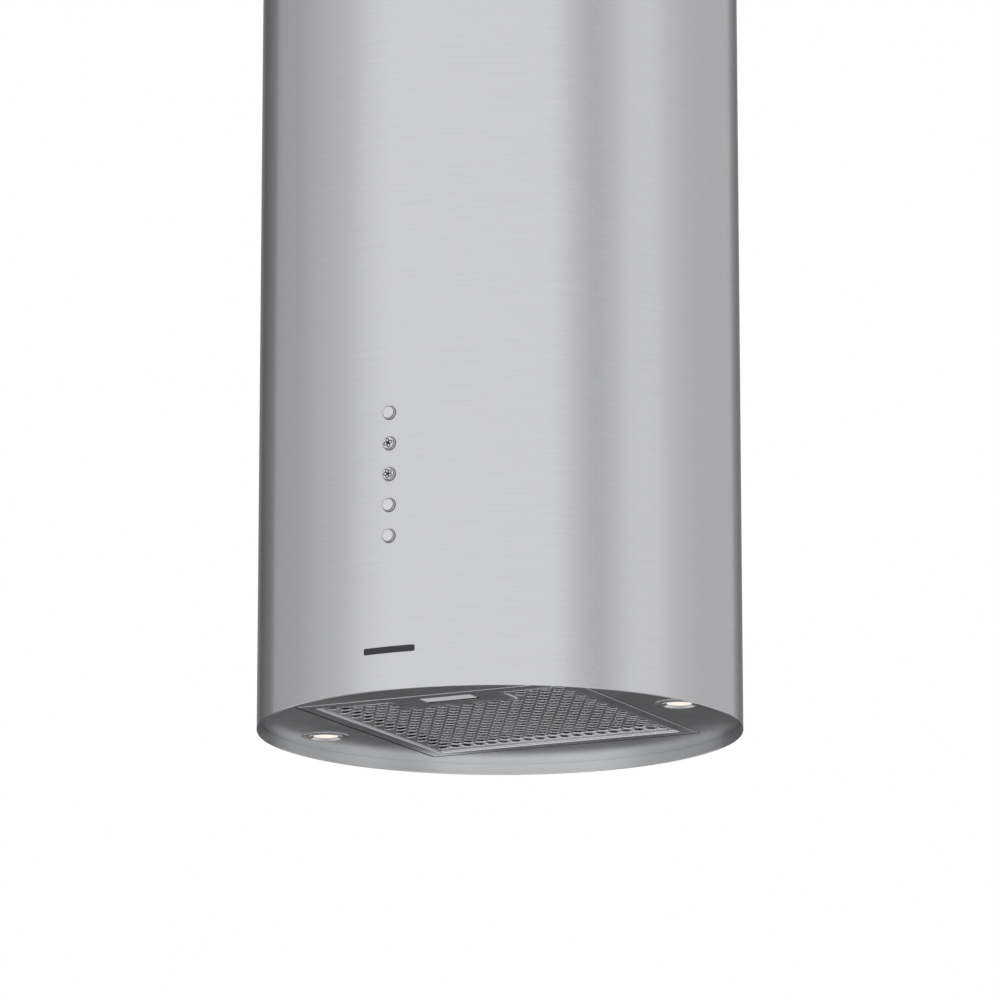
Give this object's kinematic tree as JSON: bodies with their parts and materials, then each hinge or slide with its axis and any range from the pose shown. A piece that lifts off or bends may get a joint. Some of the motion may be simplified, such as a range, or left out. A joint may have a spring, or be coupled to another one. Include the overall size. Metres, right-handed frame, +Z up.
{
  "type": "island range hood",
  "caption": "Cylindrical ceiling-hung range hood: telescopic brushed steel tube, key row on the front, hinged square filter and lamps on the recessed underside.",
  "frame": {"origin": "centre of the ceiling plate's top face, where the hood hangs from the ceiling", "axes": "+Z up along the tube, -Y the front with the key row, +X to the right seen from the front"},
  "size_m": [0.38, 0.3824, 0.9],
  "materials": {
    "shell_steel": "brushed",
    "panel_steel": "satin",
    "filter_steel": "satin",
    "filter_mesh": "expanded mesh",
    "latch_metal": "satin",
    "spring_steel": "bright",
    "pin_steel": "bright",
    "galvanised": "galvanised",
    "screw_zinc": "zinc plated",
    "moulded_black": "matt moulded",
    "scroll_plastic": "matt moulded",
    "flap_plastic": "matt moulded",
    "damper_rubber": "matt",
    "motor_metal": "cast",
    "core_iron": "varnished",
    "capacitor_white": "moulded",
    "terminal_white": "moulded",
    "board_green": "lacquered",
    "lead_grey": "sheathed",
    "key_silver": "metallised",
    "badge_dark": "satin",
    "bezel_steel": "satin",
    "lens_warm": "opal, lit",
    "lamp_metal": "cast"
  },
  "bodies": {
    "ceiling_side": {"ceiling_plate": "galvanised", "upper_posts": "galvanised", "post_clamp_screws": "screw_zinc", "upper_tube": "shell_steel", "upper_tube_brackets": "galvanised", "upper_tube_screws": "screw_zinc"},
    "filter": {"filter_frame": "filter_steel", "filter_sheet_lower": "filter_steel", "filter_mesh": "filter_mesh", "filter_sheet_upper": "filter_steel", "filter_hinge_pins": "pin_steel", "latch_cover": "moulded_black", "latch_spring": "spring_steel"},
    "latch": {"latch_slider": "latch_metal", "latch_tongue": "spring_steel"},
    "blower_wheel": {"impeller": "scroll_plastic", "motor_shaft": "pin_steel"},
    "flap_front": {"damper_flap_front": "flap_plastic"},
    "flap_back": {"damper_flap_back": "flap_plastic"},
    "key_1_body": {"key_1": "key_silver"},
    "key_2_body": {"key_2": "key_silver"},
    "key_3_body": {"key_3": "key_silver"},
    "key_4_body": {"key_4": "key_silver"},
    "key_5_body": {"key_5": "key_silver"},
    "hood": {"badge": "badge_dark", "bottom_panel": "panel_steel", "cable_gland": "moulded_black", "capacitor": "capacitor_white", "casing_body": "galvanised", "casing_top": "galvanised", "control_box": "galvanised", "control_box_lid": "galvanised", "damper_spindle": "pin_steel", "filter_seat": "galvanised", "hood_screws": "screw_zinc", "inlet_ring_back": "moulded_black", "inlet_ring_front": "moulded_black", "lamp_bezel_left": "bezel_steel", "lamp_bezel_right": "bezel_steel", "lamp_body_left": "lamp_metal", "lamp_body_right": "lamp_metal", "lamp_lens_left": "lens_warm", "lamp_lens_right": "lens_warm", "lead_clips": "moulded_black", "lead_lamps": "lead_grey", "lead_motor": "lead_grey", "lead_switch": "lead_grey", "lower_posts": "galvanised", "motor_bracket": "galvanised", "motor_dampers": "damper_rubber", "motor_stator": "motor_metal", "outlet_spigot": "moulded_black", "outlet_transition": "scroll_plastic", "scroll_back": "scroll_plastic", "scroll_front": "scroll_plastic", "shell": "shell_steel", "switch_board": "board_green", "switch_housing": "moulded_black", "terminal_block": "terminal_white", "transformer": "core_iron"}
  },
  "joints": [
    {"name": "height_adjust", "type": "slide", "parent": "ceiling_side", "child": "hood", "axis": [0, 0, 1], "range_m": [-0.16, 0.1]},
    {"name": "filter_hinge", "type": "hinge", "parent": "hood", "child": "filter", "pos_m": [0, 0.1157, -0.8884], "axis": [1, 0, 0], "range_deg": [0, 90], "deforming": ["latch_tongue"]},
    {"name": "latch_slide", "type": "slide", "parent": "filter", "child": "latch", "axis": [0, 1, 0], "range_m": [0, 0.005], "stiffness_N_per_m": 300, "springref_m": -0.004, "deforming": ["latch_spring"]},
    {"name": "wheel_spin", "type": "hinge", "parent": "hood", "child": "blower_wheel", "pos_m": [-0.01, 0, -0.735], "axis": [0, 1, 0], "continuous": true},
    {"name": "flap_front_swing", "type": "hinge", "parent": "hood", "child": "flap_front", "pos_m": [0, 0, -0.524], "axis": [-1, 0, 0], "range_deg": [0, 78]},
    {"name": "flap_back_swing", "type": "hinge", "parent": "hood", "child": "flap_back", "pos_m": [0, 0, -0.524], "axis": [1, 0, 0], "range_deg": [0, 78]},
    {"name": "key_1_press", "type": "slide", "parent": "hood", "child": "key_1_body", "axis": [0, 1, 0], "range_m": [0, 0.0016], "stiffness_N_per_m": 400, "springref_m": -0.002},
    {"name": "key_2_press", "type": "slide", "parent": "hood", "child": "key_2_body", "axis": [0, 1, 0], "range_m": [0, 0.0016], "stiffness_N_per_m": 400, "springref_m": -0.002},
    {"name": "key_3_press", "type": "slide", "parent": "hood", "child": "key_3_body", "axis": [0, 1, 0], "range_m": [0, 0.0016], "stiffness_N_per_m": 400, "springref_m": -0.002},
    {"name": "key_4_press", "type": "slide", "parent": "hood", "child": "key_4_body", "axis": [0, 1, 0], "range_m": [0, 0.0016], "stiffness_N_per_m": 400, "springref_m": -0.002},
    {"name": "key_5_press", "type": "slide", "parent": "hood", "child": "key_5_body", "axis": [0, 1, 0], "range_m": [0, 0.0016], "stiffness_N_per_m": 400, "springref_m": -0.002}
  ]
}
